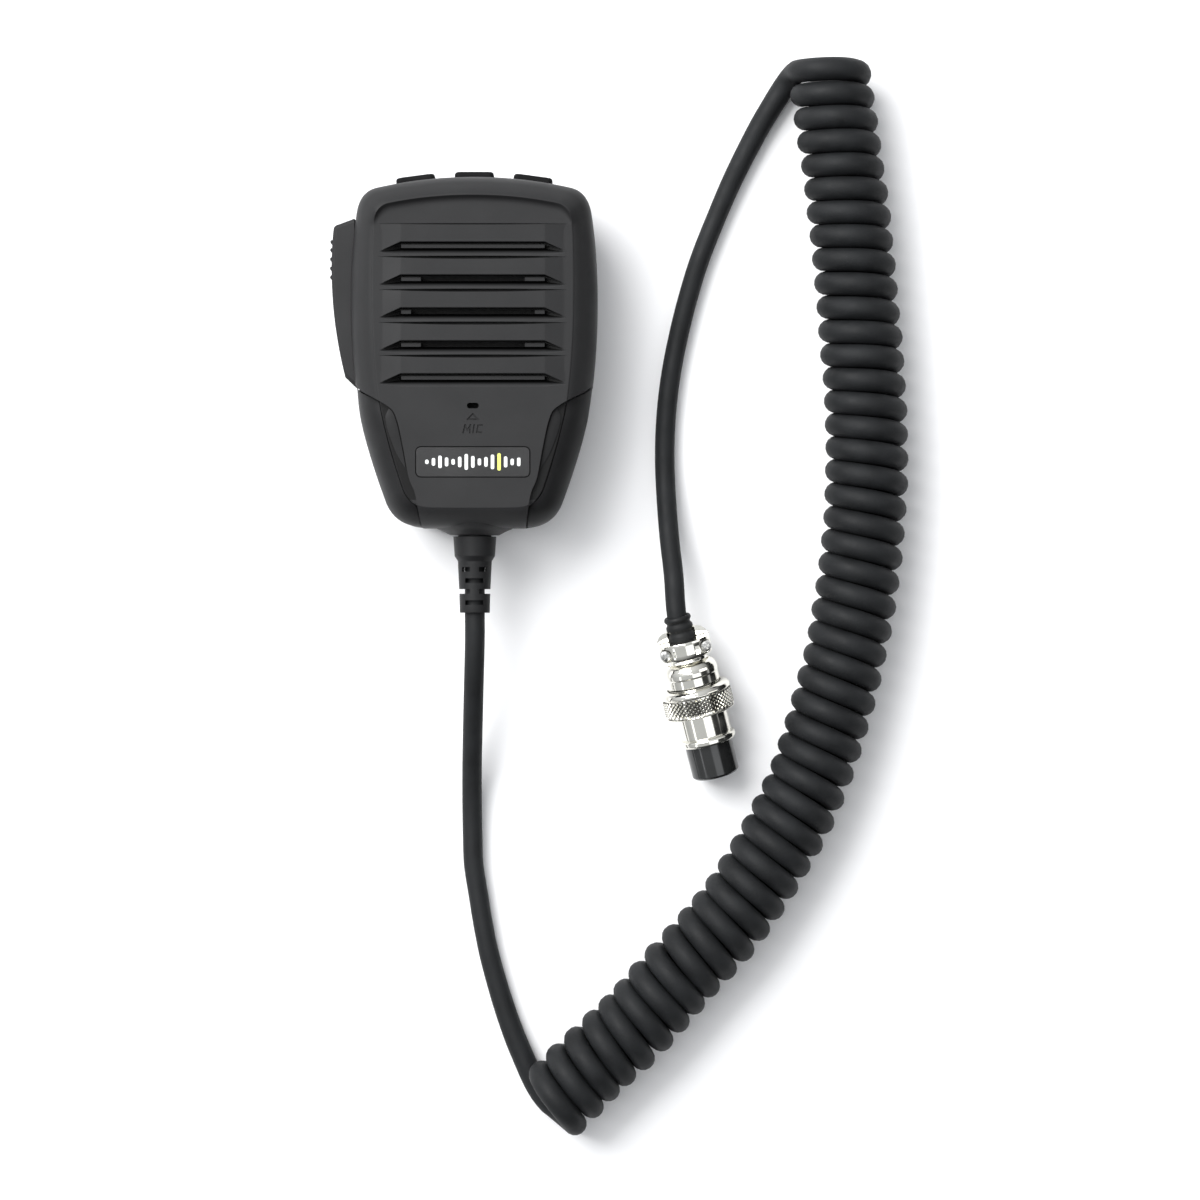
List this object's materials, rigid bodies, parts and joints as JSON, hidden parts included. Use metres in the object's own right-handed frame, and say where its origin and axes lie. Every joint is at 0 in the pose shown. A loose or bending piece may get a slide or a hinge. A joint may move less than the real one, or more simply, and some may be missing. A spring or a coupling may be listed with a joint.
{
  "type": "hand microphone",
  "caption": "Palm-sized radio hand microphone with speaker grille, push-to-talk bar, top keys, hang stud, curly cord and round screw plug.",
  "frame": {"origin": "centre of the hang stud's flat outer face, on the surface that the microphone lies on", "axes": "+Z out of the front face, +Y towards the top keys and away from the cord exit, +X to the right as seen from the front"},
  "size_m": [0.1455, 0.2721, 0.0344],
  "materials": {
    "case": "fine moulded texture, charcoal",
    "grip": "smooth satin elastomer, near black",
    "keys": "matte silicone, dark grey",
    "plate": "semi-gloss black with a printed level-bar mark",
    "switch": "moulded switch body",
    "nylon": "natural nylon",
    "board": "green solder mask",
    "steel": "zinc-plated steel",
    "stud": "bright nickel plate",
    "nickel": "bright nickel plate",
    "brass": "gold-flashed brass",
    "insert": "polished black phenolic",
    "cord": "satin polyurethane jacket, near black",
    "sleeve": "matte moulded rubber",
    "cloth": "acoustic cloth",
    "paper": "pressed paper cone",
    "magnet": "ferrite and pressed steel",
    "wire": "insulated wire"
  },
  "bodies": {
    "mic": {"rear_cover": "case", "front_cover": "case", "grip_left": "grip", "grip_right": "grip", "nameplate": "plate", "case_screw_1": "steel", "case_screw_2": "steel", "case_screw_3": "steel", "case_screw_4": "steel", "hang_cap": "stud", "hang_neck": "stud", "hang_screw": "steel", "circuit_board": "board", "board_screw_left": "steel", "board_screw_right": "steel", "board_socket": "nylon", "wire_plug": "nylon", "speaker_magnet": "magnet", "speaker_frame": "steel", "speaker_cone": "paper", "speaker_gasket": "sleeve", "grille_cloth": "cloth", "mic_capsule": "nickel", "mic_boot": "sleeve", "speaker_wires": "wire", "ptt_pin": "steel", "ptt_switch": "switch", "ptt_spring": "steel", "key_switch_left": "switch", "key_switch_centre": "switch", "key_switch_right": "switch", "strain_relief": "sleeve", "cable_core": "cord", "core_clamp": "sleeve", "core_clamp_screw_left": "steel", "core_clamp_screw_right": "steel", "cord_lead": "cord", "cord_curl": "cord", "cord_tail": "cord", "plug_boot": "sleeve", "plug_shell": "nickel", "clamp_saddle": "nickel", "saddle_screw_1": "steel", "saddle_screw_2": "steel", "plug_sleeve": "nickel", "plug_insert": "insert", "contact_1": "brass", "contact_2": "brass", "contact_3": "brass", "contact_4": "brass"},
    "ptt": {"ptt_bar": "case"},
    "ptt_plunger_body": {"ptt_plunger": "nylon"},
    "key_left_body": {"key_left": "keys", "key_plunger_left": "nylon"},
    "key_centre_body": {"key_centre": "keys", "key_plunger_centre": "nylon"},
    "key_right_body": {"key_right": "keys", "key_plunger_right": "nylon"},
    "ring_carrier": {"ring_washer": "steel"},
    "ring": {"coupling_ring": "nickel"}
  },
  "joints": [
    {"name": "ptt_press", "type": "hinge", "parent": "mic", "child": "ptt", "pos_m": [-0.0279, -0.0105, 0.0185], "axis": [0, 0, -1], "range_deg": [0, 2.3], "stiffness_Nm_per_rad": 1.2, "springref_deg": -1.72, "deforming": ["ptt_spring"]},
    {"name": "ptt_plunger_travel", "type": "slide", "parent": "mic", "child": "ptt_plunger_body", "axis": [1, 0, 0], "range_m": [0, 0.00125]},
    {"name": "key_left_press", "type": "slide", "parent": "mic", "child": "key_left_body", "axis": [0.1323, -0.9912, 0], "range_m": [0, 0.0008], "stiffness_N_per_m": 1500, "springref_m": -0.0005},
    {"name": "key_centre_press", "type": "slide", "parent": "mic", "child": "key_centre_body", "axis": [0, -1, 0], "range_m": [0, 0.0008], "stiffness_N_per_m": 1500, "springref_m": -0.0005},
    {"name": "key_right_press", "type": "slide", "parent": "mic", "child": "key_right_body", "axis": [-0.1323, -0.9912, 0], "range_m": [0, 0.0008], "stiffness_N_per_m": 1500, "springref_m": -0.0005},
    {"name": "ring_slide", "type": "slide", "parent": "mic", "child": "ring_carrier", "axis": [0.2416, -0.9557, -0.1683], "range_m": [0, 0.011]},
    {"name": "ring_spin", "type": "hinge", "parent": "ring_carrier", "child": "ring", "pos_m": [0.05597, -0.09089, 0.00961], "axis": [0.2416, -0.9557, -0.1683], "continuous": true}
  ],
  "couplings": [
    {"joint": "ptt_plunger_travel", "follows": "ptt_press", "m_per_rad": 0.029}
  ]
}
